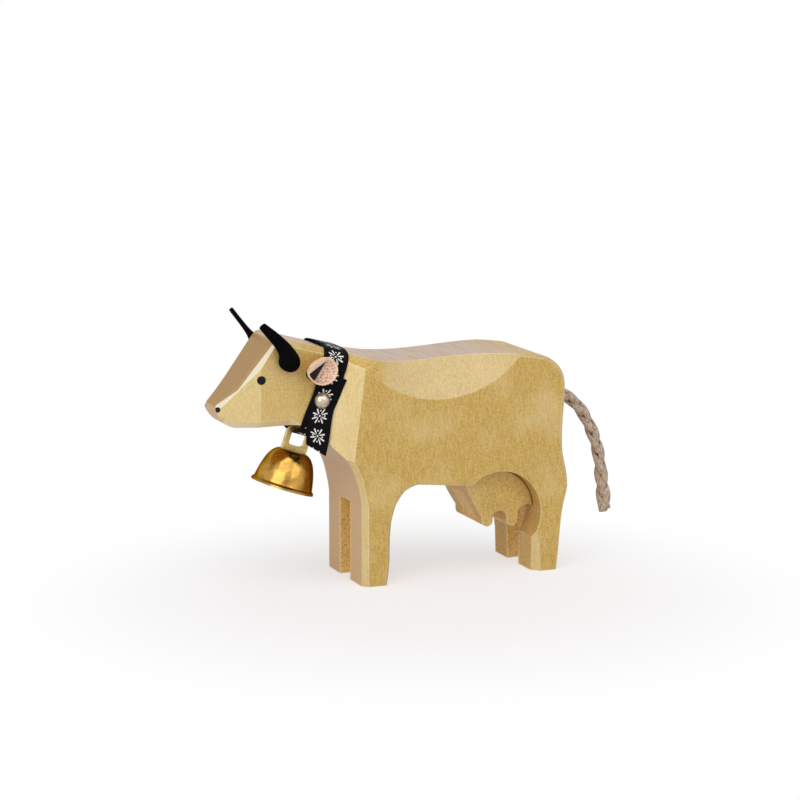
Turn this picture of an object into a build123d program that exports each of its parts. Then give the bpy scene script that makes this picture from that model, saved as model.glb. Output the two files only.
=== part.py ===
"""Standing toy cow: a block sawn from a plank and carved in facets, a separate udder,
set-in horns and ears, a woven collar held by a dome nail, a brass bell and a rope tail.

Millimetres. The nose points to -X, the cow's left side is -Y, +Z is up, and the origin is
on the floor at the middle of the nose-to-rump length.
"""
import math
import os

from build123d import *

os.makedirs("parts", exist_ok=True)

# Driving sizes of the block
body_length = 140.0
poll_height = 97.0
plank_thickness = 40.0
cut_overrun = 5.0
bevel_overrun = 1.0

# Leg slot, sawn along the block between the left and right legs
leg_slot_width = 10.8
leg_slot_height = 31.0

# Carved facets
head_width = 26.6
nose_width = 14.6
shoulder_ridge_lean = 7.3
neck_facet_length = 11.0
forehead_width_at_nose = 10.8
forehead_width_at_poll = 22.0
forehead_bevel_drop = 3.2
front_edge_bevel = 2.1
hind_edge_bevel = 2.9
belly_bevel = 1.2
neck_bevel = 2.2
shoulder_bevel = 3.9
rump_bevel = 1.1
jaw_bevel = 2.7
run_out_bevel = 0.05

# Flank scoop, a shallow cone cut into each upper side
scoop_side_radius = 42.8
scoop_slope = 2.62

# Udder and its arch, sawn in front of the thigh
arch_radius = 17.3
thigh_depth = 11.5
udder_width = 26.4
udder_glue_gap = 0.15
udder_edge_bevel = 0.8
teat_width = 4.7

# Horns
horn_bore = 7.4
horn_bore_depth = 7.0
horn_fit = 0.1
horn_reach = 11.6
horn_spread = 5.1
horn_rise_left = 14.4
horn_rise_right = 15.9
horn_knob = 8.2
horn_root_width = 6.0
horn_root_thickness = 2.6
horn_tip_width = 3.0
horn_thickness = 1.9
horn_twist_left = 0.0
horn_twist_right = 70.0

# Ears
ear_stem = 4.4
ear_stem_depth = 7.0
ear_fit = 0.1
ear_mouth_width = 13.4
ear_mouth_height = 11.2
ear_stand_off = 0.7
ear_depth = 6.5
ear_wall = 1.3
ear_back_lean = 13.0

# Collar ribbon
ribbon_width = 9.2
ribbon_thickness = 0.5
ribbon_gap = 0.1
ribbon_pinch = 5.2
ribbon_bail_fit = 0.05

# Dome nail
nail_head = 6.4
nail_dome = 2.3
nail_shank = 1.6
nail_length = 11.0
nail_fit = 0.05
nail_clearance = 0.02
nail_past_bend = 0.6

# Bell
bell_tilt = 18.9
bell_mouth = 24.8
bell_height = 14.4
bell_wall = 0.9
bell_lip = 0.8
bell_crown = 11.4
bail_width = 10.0
bail_bar = 1.8
bail_thickness = 2.4
bail_foot = 2.2
bail_rise = 6.1
bail_corner = 1.2
tang_diameter = 3.0
tang_fit = 0.05
eye_lug_width = 3.0
eye_lug_thickness = 1.6
eye_below_crown = 3.4
clapper_pin = 1.2
clapper_fit = 0.06
clapper_wire = 1.0
clapper_half_span = 1.7
clapper_ball = 5.2
clapper_length = 7.8

# Rope tail
rope_diameter = 5.2
rope_fit = 0.05
tail_steps = [
    Vector(-7.4, 0, 1.2),
    Vector(3.0, 0, 0.0),
    Vector(12.6, 0, -4.3),
    Vector(19.2, 0, -13.7),
    Vector(22.8, 0, -25.2),
    Vector(24.6, 0, -37.8),
    Vector(25.6, 0, -50.3),
]

half_plank = plank_thickness / 2
half_head = head_width / 2


def at_share(share):
    """A point of the block's side view from shares of its length and poll height."""
    return body_length * share[0], poll_height * share[1]


def at_shares(shares):
    """Points of the block's side view from a table of shares."""
    return [at_share(share) for share in shares]


# Side view of the block, as shares of the length (from its middle) and of the poll height
sole_front_share = -0.1129
front_leg_rear_shares = [
    (-0.0421, 0.0), (-0.0329, 0.1835), (-0.0257, 0.2732), (0.0057, 0.3649), (0.0550, 0.3959),
]
arch_chord_shares = [(0.2943, 0.3629), (0.3907, 0.2062), (0.3971, 0.1031), (0.3971, 0.0)]
rump_shares = [
    (0.4657, 0.0), (0.4750, 0.1340), (0.4857, 0.2649), (0.5000, 0.3753), (0.4871, 0.4711),
    (0.4836, 0.5567), (0.4907, 0.7113), (0.4829, 0.8103), (0.4550, 0.8577), (0.4014, 0.8866),
]
back_shares = [
    (0.4014, 0.8866), (0.3014, 0.8990), (0.1586, 0.8948), (0.0229, 0.8887), (-0.0986, 0.9115),
]
poll_shares = [(-0.3100, 0.9950), (-0.3343, 1.0), (-0.3543, 0.9835)]
forehead_shares = [(-0.3543, 0.9835), (-0.4036, 0.8918), (-0.4436, 0.8186), (-0.4957, 0.7485)]
nose_shares = [
    (-0.4957, 0.7485), (-0.5000, 0.7258), (-0.4914, 0.6948), (-0.4700, 0.6639), (-0.4379, 0.6526),
]
throat_shares = [
    (-0.2771, 0.6557), (-0.2386, 0.6454), (-0.2107, 0.6062), (-0.1929, 0.5680),
    (-0.1571, 0.5144), (-0.1314, 0.4433), (-0.1129, 0.3196),
]

# Places on the block, as shares of the length (from its middle) and of the poll height
cheek_edge_share = -0.38786
shoulder_ridge_share = (-0.10643, 0.87113)
scoop_centre_share = (0.11929, 1.17423)
arch_height_share = 0.24536
horn_share = (-0.31143, 0.91340)
ear_share = (-0.24214, 0.87216)
nail_height_share = 0.75052
ribbon_top_share = -0.16786
bell_hang_share = (-0.25036, 0.58763)
tail_root_share = (0.5, 0.71237)

cheek_edge_x = body_length * cheek_edge_share
shoulder_ridge_x, shoulder_ridge_z = at_share(shoulder_ridge_share)
arch_centre_x = body_length / 2 - thigh_depth - arch_radius
arch_centre_z = poll_height * arch_height_share
horn_x, horn_z = at_share(horn_share)
ear_x, ear_z = at_share(ear_share)
nail_z = poll_height * nail_height_share
ribbon_top_x = body_length * ribbon_top_share
tail_x, tail_z = at_share(tail_root_share)
tail_route = [Vector(tail_x, 0, tail_z) + step for step in tail_steps]

# Knife strokes along the edges, as shares of each curve, and of the bevel where it changes
back_run_out_share = 0.78
neck_bend_share = 0.36
poll_run_out_share = 0.6
rump_run_out_share = 0.36
rump_stroke_shares = [0.42, 0.5, 0.6, 0.7, 0.76, 0.8, 0.84, 0.88, 0.92, 0.96, 1.0]
rump_start_share = 0.2
nose_stroke_shares = [(0.3, 0.1), (0.5, 0.4), (0.7, 0.75), (1.0, 1.0)]
jaw_stroke_shares = [(0.31, 1.0), (0.85, 1.0), (1.0, 0.1)]
hind_stroke_shares = [0.05, 0.35, 0.75, 1.0]
belly_stroke_shares = [0.0, 0.2, 0.4, 0.55, 0.7, 0.85, 1.0]


def block_outline():
    """The sawn side view, drawn in X and Z."""
    sole_front = (body_length * sole_front_share, 0)
    front_leg = at_shares(front_leg_rear_shares)
    arch_chord = at_shares(arch_chord_shares)
    rump = at_shares(rump_shares)
    poll = at_shares(poll_shares)
    nose = at_shares(nose_shares)
    throat = at_shares(throat_shares)
    with BuildSketch(Plane.XZ) as outline:
        with BuildLine():
            Line(sole_front, front_leg[0])
            Spline(front_leg)
            Polyline([front_leg[-1], *arch_chord])
            Line(arch_chord[-1], rump[0])
            Spline(rump)
            Spline(at_shares(back_shares))
            Line(at_shares(back_shares)[-1], poll[0])
            ThreePointArc(*poll)
            Spline(at_shares(forehead_shares))
            Spline(nose)
            Line(nose[-1], throat[0])
            Spline(throat)
            Line(throat[-1], sole_front)
        make_face()
    return outline.sketch


def both_sides(left_cutter):
    """A cutter for the left side and its mirror image for the right side."""
    return left_cutter + mirror(left_cutter, about=Plane.XZ)


def prism(points, low_z, height, lean=0.0):
    """A prism over a plan outline, leaning back by an angle as it rises."""
    direction = Vector(math.sin(math.radians(lean)), 0, math.cos(math.radians(lean)))
    with BuildSketch(Plane.XY.offset(low_z)) as plan:
        with BuildLine():
            Polyline(points, close=True)
        make_face()
    return extrude(plan.sketch, amount=height / direction.Z, dir=direction)


def head_side_cutter():
    """Takes the head's side down to the head width and tapers the muzzle to the nose."""
    nose_x = -body_length / 2
    slope = (half_head - nose_width / 2) / (cheek_edge_x - nose_x)
    front_x = nose_x - cut_overrun
    front_y = -(nose_width / 2 - slope * cut_overrun)
    rear_x = shoulder_ridge_x - neck_facet_length - cut_overrun
    outside = -half_plank - cut_overrun
    points = [
        (front_x, front_y), (cheek_edge_x, -half_head), (rear_x, -half_head),
        (rear_x, outside), (front_x, outside),
    ]
    return both_sides(prism(points, 0, poll_height + cut_overrun))


def neck_plan(offset):
    """The left side of the neck in plan at floor level, grown outward by an offset.

    Gives the bend where the neck's slanted facet starts, and the shoulder ridge where it ends.
    """
    ridge_x = shoulder_ridge_x - math.tan(math.radians(shoulder_ridge_lean)) * shoulder_ridge_z
    slope = (half_plank - half_head) / neck_facet_length
    facet_offset = offset * math.hypot(1, slope)
    bend_x = ridge_x - neck_facet_length + (offset - facet_offset) / slope
    return (bend_x, -half_head - offset), (ridge_x, -half_plank - facet_offset)


# The nail's head rests on the lapped ribbon, at the front on the neck and at the rear on its slanted facet
lapped_ribbon = ribbon_gap + 2 * ribbon_thickness
lapped_bend_x = neck_plan(lapped_ribbon)[0][0] + math.tan(math.radians(shoulder_ridge_lean)) * nail_z
facet_rise = nail_past_bend * (half_plank - half_head) / neck_facet_length
nail_slant = (facet_rise + nail_clearance) / nail_head
nail_x = lapped_bend_x + nail_past_bend - nail_head / 2
nail_y = -half_head - lapped_ribbon - nail_head / 2 * nail_slant
nail_seat = Plane(origin=(nail_x, nail_y, nail_z), z_dir=(-nail_slant, -math.sqrt(1 - nail_slant ** 2), 0))


def neck_side_cutter():
    """The slanted facet from the shoulder ridge forward to the neck."""
    (bend_x, bend_y), (ridge_x, ridge_y) = neck_plan(0)
    front_x = bend_x - 2 * cut_overrun
    outside = ridge_y - cut_overrun
    rear_x = ridge_x + cut_overrun * (ridge_x - bend_x) / (bend_y - ridge_y)
    points = [(rear_x, outside), (bend_x, bend_y), (front_x, bend_y), (front_x, outside)]
    return both_sides(prism(points, 0, poll_height + cut_overrun, shoulder_ridge_lean))


def flank_scoop():
    """The lens-shaped hollow along the upper flank."""
    reach = scoop_side_radius / scoop_slope
    overrun_radius = scoop_side_radius + scoop_slope * cut_overrun
    with BuildSketch(Plane.XY) as half_section:
        with BuildLine():
            Polyline(
                [
                    (0, -half_plank + reach), (overrun_radius, -half_plank - cut_overrun),
                    (0, -half_plank - cut_overrun),
                ],
                close=True,
            )
        make_face()
    cone = revolve(half_section.sketch, Axis.Y)
    centre_x, centre_z = at_share(scoop_centre_share)
    return both_sides(Pos(centre_x, 0, centre_z) * cone)


def forehead_plane(side):
    """The plane of the bevel between the forehead and one cheek."""
    (poll_x, poll_z), (brow_x, brow_z) = at_shares(forehead_shares)[:2]
    nose_x, nose_z = at_shares(forehead_shares)[-1]
    at_nose = Vector(nose_x, side * forehead_width_at_nose / 2, nose_z)
    at_poll = Vector(poll_x, side * forehead_width_at_poll / 2, poll_z)
    cheek_z = brow_z + (poll_z - brow_z) * (cheek_edge_x - brow_x) / (poll_x - brow_x)
    on_cheek = Vector(cheek_edge_x, side * half_head, cheek_z - forehead_bevel_drop)
    normal = (at_poll - at_nose).cross(on_cheek - at_nose)
    if normal.Z < 0:
        normal = normal * -1
    return Plane(origin=at_nose, z_dir=normal)


def head_half_width(x):
    """Half the head's width at a place along it, tapering from the cheeks to the nose."""
    nose_x = -body_length / 2
    slope = (half_head - nose_width / 2) / (cheek_edge_x - nose_x)
    return min(half_head, nose_width / 2 + slope * (x - nose_x))


def outline_station(curve, share, half_width, bevel):
    """A place along one curve of the side view: its corner on the left side, the way out, and the bevel."""
    at = curve @ share
    ahead = curve % share
    return Vector(at.X, -half_width, at.Y), Vector(ahead.Y, 0, -ahead.X), bevel


def bevel_cutter(stations):
    """Takes the corner off along an edge, straight from station to station, on both sides."""
    aside = Vector(0, -1, 0)
    sections = []
    for corner, outward, bevel in stations:
        low = corner - outward * bevel
        high = corner - aside * bevel
        past = (low - high).normalized() * bevel_overrun
        away = (aside + outward).normalized() * cut_overrun
        outline = [low + past, high - past, high - past + away, low + past + away]
        sections.append(Face(Wire.make_polygon(outline)))
    return both_sides(loft(sections, ruled=True))


def neck_bevel_cutter():
    """Eases the top edge of the neck, deepest at the shoulder, and runs out on the back and the poll."""
    back = Spline(at_shares(back_shares))
    neck = Line(at_shares(back_shares)[-1], at_shares(poll_shares)[0])
    poll = ThreePointArc(*at_shares(poll_shares))
    stations = [
        outline_station(back, back_run_out_share, half_plank, run_out_bevel),
        outline_station(back, 1, half_plank, shoulder_bevel),
        outline_station(neck, neck_bend_share, half_head, neck_bevel),
        outline_station(neck, 1, half_head, neck_bevel),
        outline_station(poll, poll_run_out_share, half_head, run_out_bevel),
    ]
    return bevel_cutter(stations)


def rump_bevel_cutter():
    """Eases the edge of the rump from the back down to the hock."""
    back = Spline(at_shares(back_shares))
    rump = Spline(at_shares(rump_shares))
    stations = [outline_station(rump, rump_run_out_share, half_plank, run_out_bevel)]
    stations += [outline_station(rump, share, half_plank, rump_bevel) for share in rump_stroke_shares]
    stations.append(outline_station(back, rump_start_share, half_plank, run_out_bevel))
    return bevel_cutter(stations)


def jaw_bevel_cutter():
    """Eases the lower edge of the jaw from the nose back to the throat."""
    nose = Spline(at_shares(nose_shares))
    jaw = Line(at_shares(nose_shares)[-1], at_shares(throat_shares)[0])
    places = [(nose, share, bevel_share) for share, bevel_share in nose_stroke_shares]
    places += [(jaw, share, bevel_share) for share, bevel_share in jaw_stroke_shares]
    stations = []
    for curve, share, bevel_share in places:
        half_width = head_half_width((curve @ share).X)
        stations.append(outline_station(curve, share, half_width, jaw_bevel * bevel_share))
    return bevel_cutter(stations)


def belly_bevel_cutter():
    """Eases the rear edge of the front legs and the front of the belly."""
    curve = Spline(at_shares(front_leg_rear_shares))
    return bevel_cutter(
        [outline_station(curve, share, half_plank, belly_bevel) for share in belly_stroke_shares]
    )


def hind_bevel_cutter():
    """Eases the front corners of the hind legs, from the udder's arch down."""
    chord = at_shares(arch_chord_shares)
    strokes = [Line(start, end) for start, end in zip(chord, chord[1:])]
    places = [(stroke, 0) for stroke in strokes] + [(strokes[-1], 1)]
    stations = [
        outline_station(stroke, place, half_plank, hind_edge_bevel * share)
        for (stroke, place), share in zip(places, hind_stroke_shares)
    ]
    return bevel_cutter(stations)


def front_bevel_cutter():
    """Eases the front corners of the legs and the chest, in straight knife strokes."""
    strokes = [(body_length * sole_front_share, 0), *reversed(at_shares(throat_shares)[-3:])]
    reach = front_edge_bevel + cut_overrun
    left = []
    for (low_x, low_z), (high_x, high_z) in zip(strokes, strokes[1:]):
        points = [
            (low_x + reach, -half_plank - cut_overrun), (low_x - cut_overrun, -half_plank + reach),
            (low_x - cut_overrun, -half_plank - cut_overrun),
        ]
        lean = math.degrees(math.atan2(high_x - low_x, high_z - low_z))
        left.append(prism(points, low_z, high_z - low_z, lean))
    return both_sides(left[0] + left[1:])


def sawn_blank():
    """The plank sawn to the side view, its corners eased with a knife."""
    blank = extrude(block_outline(), amount=half_plank, both=True)
    blank = blank - front_bevel_cutter() - belly_bevel_cutter()
    return blank - hind_bevel_cutter() - rump_bevel_cutter()


neck_low = Vector(*at_shares(back_shares)[-1])
neck_high = Vector(*at_shares(poll_shares)[0])
neck_fall = (neck_low - neck_high).normalized()
along_neck = Vector(neck_fall.X, 0, neck_fall.Y)
across_neck = Vector(-neck_fall.Y, 0, neck_fall.X)


def ear_seat(side):
    """The plane on the side of the head where an ear's stem enters, its axis leaning back."""
    lean = math.radians(ear_back_lean)
    return Plane(
        origin=(ear_x, side * half_head, ear_z),
        x_dir=(-math.cos(lean), side * math.sin(lean), 0),
        z_dir=(math.sin(lean), side * math.cos(lean), 0),
    )


def bore(seat, diameter, depth):
    """A blind bore below a seat plane."""
    tool = Cylinder(diameter / 2, depth + cut_overrun, align=(Align.CENTER, Align.CENTER, Align.MIN))
    return seat * Pos(0, 0, -depth) * tool


def carved_block():
    """The cow's body, head and legs in one piece of wood."""
    block = sawn_blank()
    arch = Cylinder(arch_radius, plank_thickness + 2 * cut_overrun)
    block -= Pos(arch_centre_x, 0, arch_centre_z) * Rot(90, 0, 0) * arch
    block -= head_side_cutter()
    block -= neck_side_cutter()
    block -= neck_bevel_cutter()
    block -= jaw_bevel_cutter()
    block -= flank_scoop()
    for side in (-1, 1):
        block = split(block, bisect_by=forehead_plane(side), keep=Keep.BOTTOM)
        horn_seat = Plane(origin=(horn_x, side * half_head, horn_z), z_dir=(0, side, 0))
        block -= bore(horn_seat, horn_bore, horn_bore_depth)
        block -= bore(ear_seat(side), ear_stem, ear_stem_depth)
    slot = Box(
        body_length + 2 * cut_overrun, leg_slot_width, leg_slot_height + cut_overrun,
        align=(Align.CENTER, Align.CENTER, Align.MIN),
    )
    block -= Pos(0, 0, -cut_overrun) * slot
    block -= bore(nail_seat, nail_shank + 2 * nail_fit, nail_length + nail_fit)
    rope_in = tail_route[1] - tail_route[0]
    rope_hole = Plane(origin=tail_route[1], z_dir=rope_in)
    block -= bore(rope_hole, rope_diameter + 2 * rope_fit, rope_in.length + rope_fit)
    return block


# Udder: its front end and rear cusp as shares of the radius, its hollows as shares of the teats
udder_front_share = (-0.705, 0.709)
udder_cusp_share = (0.998, 0.052)
udder_slant_share = (0.55, 0.62)
front_teat_share = (-0.15029, -0.32948)
rear_teat_share = (0.46243, -0.36994)
teat_root_share = -0.09249
valley_rise_share = 0.85
hollow_rise_share = 0.75

# Horn: how far its knob stands out, as a share of the knob, and its corners, of the strap's thickness
horn_knob_share = 0.32
horn_corner_share = 0.3

# Ear: how wide its flare and its hollow are part way down, as shares of the mouth and the depth
ear_flare_share = (0.62, 0.45)
ear_hollow_shares = [(1.0, 1.0), (0.68, 0.6), (0.28, 0.32)]

# Ribbon in side view, as shares of its width along the neck and of its drop to the bell
ribbon_front_shares = [
    (-0.500, 0.060), (-0.500, 0.000), (-0.424, -0.083), (-0.565, -0.378), (-0.620, -0.562),
    (-0.793, -0.837), (-0.696, -0.888),
]
ribbon_rear_shares = [
    (0.087, -0.868), (0.304, -0.817), (0.380, -0.693), (0.315, -0.504), (0.478, -0.206),
    (0.500, 0.000), (0.500, 0.060),
]
ribbon_pinch_share = -0.931
ribbon_side_share = 0.8744
ribbon_lap_shares = [
    (-0.576, -0.344), (0.641, -0.246), (0.315, -0.504), (0.409, -0.702), (0.594, -1.100),
    (-0.352, -1.025), (-0.617, -0.767), (-0.620, -0.562),
]

# Rope bends, as a share of the shorter straight run beside them
tail_bend_share = 0.45

# Bell wall above the lip, as shares of the mouth radius and of the height
bell_side_shares = [(0.935, 0.111), (0.885, 0.340), (0.795, 0.620), (0.640, 0.880)]
bell_drop_share = 0.4


teat_root_z = arch_centre_z + arch_radius * teat_root_share
front_teat_x = arch_centre_x + arch_radius * front_teat_share[0]
front_teat_bottom = arch_centre_z + arch_radius * front_teat_share[1]
rear_teat_x = arch_centre_x + arch_radius * rear_teat_share[0]
rear_teat_bottom = arch_centre_z + arch_radius * rear_teat_share[1]


def teat_outline(centre_x, bottom_z):
    """One teat in side view, from its rear side round its tip to its front side."""
    rear_x = centre_x + teat_width / 2
    front_x = centre_x - teat_width / 2
    turn_z = bottom_z + teat_width / 2
    Line((rear_x, teat_root_z), (rear_x, turn_z))
    ThreePointArc((rear_x, turn_z), (centre_x, bottom_z), (front_x, turn_z))
    Line((front_x, turn_z), (front_x, teat_root_z))


def udder_piece():
    """The sawn udder, round above, with two teats below."""
    radius = arch_radius - udder_glue_gap
    half_teat = teat_width / 2
    front_end = Vector(*udder_front_share) * radius + Vector(arch_centre_x, arch_centre_z)
    cusp = Vector(*udder_cusp_share) * radius + Vector(arch_centre_x, arch_centre_z)
    rear_root = Vector(rear_teat_x + half_teat, teat_root_z)
    front_root = Vector(front_teat_x - half_teat, teat_root_z)
    valley = ((front_teat_x + rear_teat_x) / 2, teat_root_z + half_teat * valley_rise_share)
    hollow = ((rear_root.X + cusp.X) / 2, teat_root_z + teat_width * hollow_rise_share)
    slant = (
        front_end.X + (front_root.X - front_end.X) * udder_slant_share[0],
        front_end.Y + (front_root.Y - front_end.Y) * udder_slant_share[1],
    )
    with BuildSketch(Plane.XZ) as outline:
        with BuildLine():
            ThreePointArc(front_end, (arch_centre_x, arch_centre_z + radius), cusp)
            ThreePointArc(cusp, hollow, rear_root)
            teat_outline(rear_teat_x, rear_teat_bottom)
            ThreePointArc(
                (rear_teat_x - half_teat, teat_root_z), valley, (front_teat_x + half_teat, teat_root_z)
            )
            teat_outline(front_teat_x, front_teat_bottom)
            Spline([front_root, slant, front_end])
        make_face()
    udder = extrude(outline.sketch, amount=udder_width / 2, both=True)
    round_top = udder.edges().filter_by(GeomType.CIRCLE).group_by(Edge.length.fget)[-1]
    return chamfer(round_top, udder_edge_bevel)


def horn(side, twist, horn_rise):
    """A straight, tapering strap of leather that springs from a round knob set into the head."""
    outward = Vector(0, side, 0)
    root = Vector(horn_x, side * half_head, horn_z)
    knob_centre = root + outward * horn_knob * horn_knob_share
    tip = root + Vector(-horn_reach, side * horn_spread, horn_rise)
    rise = (tip - knob_centre).normalized()
    across = rise.cross(outward).normalized()
    peg = Plane(origin=root - outward * (horn_bore_depth - horn_fit), z_dir=outward)
    peg_solid = peg * Cylinder(
        horn_bore / 2 - horn_fit, horn_bore_depth - horn_fit, align=(Align.CENTER, Align.CENTER, Align.MIN)
    )
    corner = horn_thickness * horn_corner_share
    strap = loft(
        [
            Plane(origin=knob_centre, x_dir=across, z_dir=rise) * Rot(0, 0, twist)
            * RectangleRounded(horn_root_width, horn_root_thickness, corner),
            Plane(origin=tip, x_dir=across, z_dir=rise) * Rot(0, 0, twist)
            * RectangleRounded(horn_tip_width, horn_thickness, corner),
        ],
        ruled=True,
    )
    return peg_solid + Pos(*knob_centre) * Sphere(horn_knob / 2) + strap


def ear_section(height, width_share):
    """The ear's oval section at a height above its seat."""
    section = Ellipse(ear_mouth_width / 2 * width_share, ear_mouth_height / 2 * width_share)
    return Pos(0, 0, height) * section


def ear(side):
    """A tongue of leather rolled to a cup, its narrow end a round stem."""
    stem_radius = ear_stem / 2 - ear_fit
    stem_length = ear_stem_depth - ear_fit + ear_stand_off
    stem = Cylinder(stem_radius, stem_length, align=(Align.CENTER, Align.CENTER, Align.MAX))
    flare_width, flare_height = ear_flare_share
    outside = loft(
        [Circle(stem_radius), ear_section(ear_depth * flare_height, flare_width), ear_section(ear_depth, 1)]
    )
    wall_share = 1 - 2 * ear_wall / ear_mouth_width
    inside = loft([ear_section(ear_depth * up, wall_share * wide) for wide, up in ear_hollow_shares])
    return ear_seat(side) * Pos(0, 0, ear_stand_off) * (stem + outside - inside)


ribbon_top_z = neck_low.Y + (neck_low.X - ribbon_top_x) * -neck_fall.Y / neck_fall.X
ribbon_top = Vector(ribbon_top_x, 0, ribbon_top_z)
ribbon_plane = Plane(origin=ribbon_top, x_dir=(0, 1, 0), z_dir=along_neck)
ribbon_side_plane = Plane(origin=ribbon_top, x_dir=along_neck, z_dir=(0, -1, 0))
hang_x, hang_z = at_share(bell_hang_share)
hang_point = Vector(hang_x, 0, hang_z)
ribbon_drop = -(hang_point - ribbon_top).dot(across_neck)
ribbon_side_drop = ribbon_drop * ribbon_side_share
bail_inner_radius = bail_width / 2 - bail_bar
ribbon_lift = math.sqrt((bail_inner_radius - ribbon_bail_fit) ** 2 - (ribbon_pinch / 2) ** 2)


def neck_column(offset):
    """The neck's plan grown by an offset, from the floor up past the poll."""
    bend, ridge = neck_plan(offset)
    left = [(-body_length / 2, bend[1]), bend, ridge]
    right = [(x, -y) for x, y in reversed(left)]
    return prism(left + right, 0, poll_height + cut_overrun, shoulder_ridge_lean)


def neck_sleeve(offset):
    """The neck grown by an offset, with the U below it that carries the bell."""
    half_side = half_head + offset
    outside = half_plank + cut_overrun
    with BuildSketch(ribbon_plane) as front_view:
        with BuildLine():
            Polyline(
                [
                    (half_side, -ribbon_side_drop), (outside, -ribbon_side_drop), (outside, offset),
                    (-outside, offset), (-outside, -ribbon_side_drop), (-half_side, -ribbon_side_drop),
                ]
            )
            ThreePointArc(
                (-half_side, -ribbon_side_drop),
                (0, -ribbon_drop + ribbon_lift + ribbon_gap - offset),
                (half_side, -ribbon_side_drop),
            )
        make_face()
    return neck_column(offset) & extrude(front_view.sketch, amount=2 * ribbon_width, both=True)


def ribbon_points(shares):
    """Points of the ribbon's side view, along the neck and across it."""
    return [(ribbon_width * along, ribbon_drop * across) for along, across in shares]


def ribbon_side_prism(points):
    """A prism across the neck over a side-view outline of the ribbon."""
    with BuildSketch(ribbon_side_plane) as outline:
        with BuildLine():
            Polyline(points, close=True)
        make_face()
    return extrude(outline.sketch, amount=plank_thickness, both=True)


def collar_ribbon():
    """The woven ribbon, with its ends lapped under the nail on the left side and one hanging free."""
    outer = ribbon_gap + ribbon_thickness
    hang_along = (hang_point - ribbon_top).dot(along_neck)
    pinch = [
        (hang_along - ribbon_pinch / 2, ribbon_drop * ribbon_pinch_share),
        (hang_along - ribbon_pinch / 2, -ribbon_drop - cut_overrun),
        (hang_along + ribbon_pinch / 2, -ribbon_drop - cut_overrun),
        (hang_along + ribbon_pinch / 2, ribbon_drop * ribbon_pinch_share),
    ]
    band_outline = ribbon_points(ribbon_front_shares) + pinch + ribbon_points(ribbon_rear_shares)
    band = (neck_sleeve(outer) - neck_sleeve(ribbon_gap)) & ribbon_side_prism(band_outline)
    lap = neck_column(outer + ribbon_thickness) - neck_column(outer)
    lap &= ribbon_side_prism(ribbon_points(ribbon_lap_shares))
    band += split(lap, bisect_by=Plane.XZ, keep=Keep.TOP)
    return band - bore(nail_seat, nail_shank + 2 * nail_fit, nail_length)


def dome_nail():
    """Dome head and shank in one."""
    cap_radius = (nail_head ** 2 / 4 + nail_dome ** 2) / (2 * nail_dome)
    cap = Pos(0, 0, nail_dome - cap_radius) * Sphere(cap_radius)
    room = Box(nail_head, nail_head, nail_dome, align=(Align.CENTER, Align.CENTER, Align.MIN))
    shank = Cylinder(nail_shank / 2, nail_length, align=(Align.CENTER, Align.CENTER, Align.MAX))
    return nail_seat * ((cap & room) + shank)


def bell_plane(height):
    """A plane square to the tilted bell's axis, at a height above its mouth."""
    tilt = math.radians(bell_tilt)
    up = Vector(math.sin(tilt), 0, math.cos(tilt))
    return Plane(
        origin=hang_point + up * (height - bell_height - bail_rise),
        x_dir=(math.cos(tilt), 0, -math.sin(tilt)), z_dir=up,
    )


def bell_shell():
    """The thin brass cup with its rolled lip."""
    half_mouth = bell_mouth / 2
    half_crown = bell_crown / 2
    crown_under = bell_height - bell_wall
    hole_radius = tang_diameter / 2 + tang_fit
    outside = [(half_mouth * r, bell_height * h) for r, h in bell_side_shares]
    inside = [(r - bell_wall, h - bell_wall * bell_drop_share) for r, h in outside]
    inside[0] = (inside[0][0], 0)
    with BuildSketch(Plane.XZ) as section:
        with BuildLine():
            Polyline([inside[0], (half_mouth, 0), (half_mouth, bell_lip), outside[0]])
            Spline([*outside, (half_crown, bell_height)])
            Polyline(
                [
                    (half_crown, bell_height), (hole_radius, bell_height), (hole_radius, crown_under),
                    (half_crown - bell_wall / 2, crown_under),
                ]
            )
            Spline([(half_crown - bell_wall / 2, crown_under), *reversed(inside)])
        make_face()
    return bell_plane(0) * revolve(section.sketch, Axis.Z)


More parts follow.
